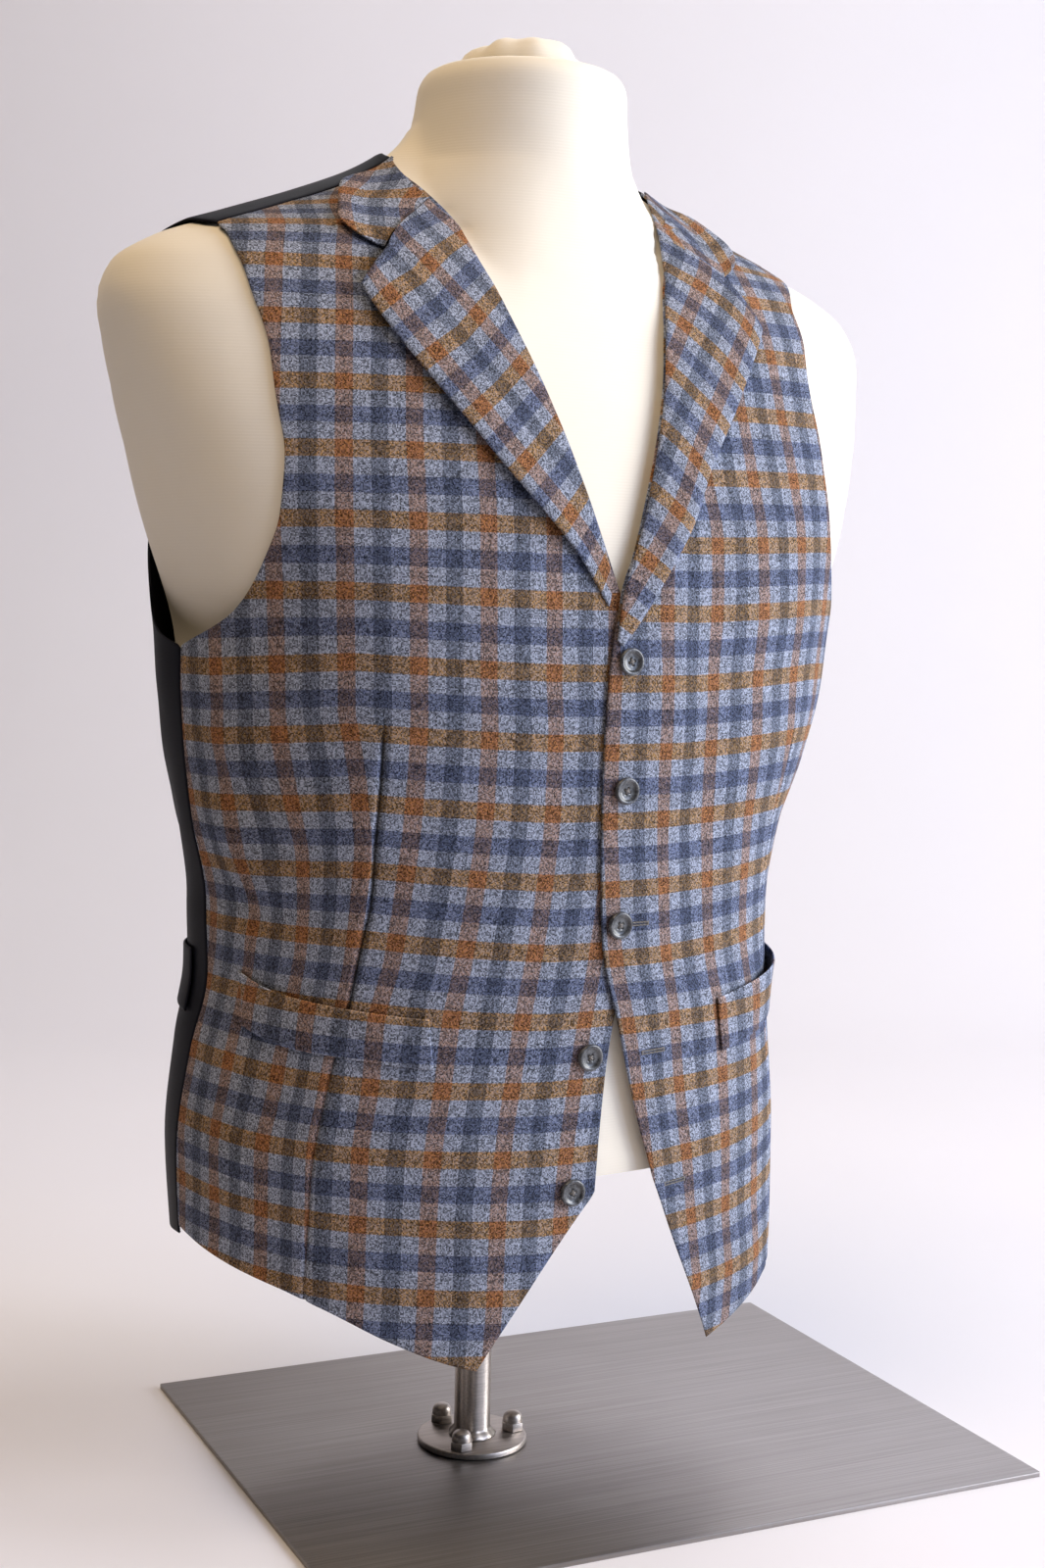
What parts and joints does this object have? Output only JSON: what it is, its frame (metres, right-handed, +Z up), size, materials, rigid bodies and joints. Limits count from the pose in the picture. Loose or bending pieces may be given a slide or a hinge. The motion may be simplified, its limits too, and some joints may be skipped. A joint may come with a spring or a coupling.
{
  "type": "suit waistcoat on a dress form and stand",
  "caption": "Single-breasted wool check suit waistcoat with notch lapels, welt pockets and a satin back, on a limbless dress form with a steel base plate.",
  "frame": {"origin": "on the floor under the base plate, on the axis of the stand's post", "axes": "+Z up through the post and the form's neck; the waistcoat's front faces -Y; the wearer's left is +X"},
  "size_m": [0.5521, 0.375, 0.8253],
  "materials": {
    "wool_check": "matt twill-woven wool in a blue, grey, rust and brown check",
    "dark_satin": "dark navy-black lining satin with a soft sheen",
    "horn_grey": "polished dark grey horn look",
    "cream_jersey": "matt fine-knit cream jersey cover",
    "dull_metal": "dark dull metal",
    "brushed_steel": "long brushed streaks"
  },
  "bodies": {
    "root": {"back": "dark_satin", "button_1": "horn_grey", "button_2": "horn_grey", "button_3": "horn_grey", "button_4": "horn_grey", "button_5": "horn_grey", "collar_left": "wool_check", "collar_right": "wool_check", "form_body": "cream_jersey", "form_neck_cap": "cream_jersey", "front_left": "wool_check", "front_right": "wool_check", "lapel_left": "wool_check", "lapel_right": "wool_check", "stand_flange": "brushed_steel", "stand_nut_1": "brushed_steel", "stand_nut_2": "brushed_steel", "stand_nut_3": "brushed_steel", "stand_plate": "brushed_steel", "stand_post": "brushed_steel", "strap_buckle": "dull_metal", "strap_left": "dark_satin", "strap_right": "dark_satin", "welt_left": "wool_check", "welt_right": "wool_check"}
  },
  "joints": []
}
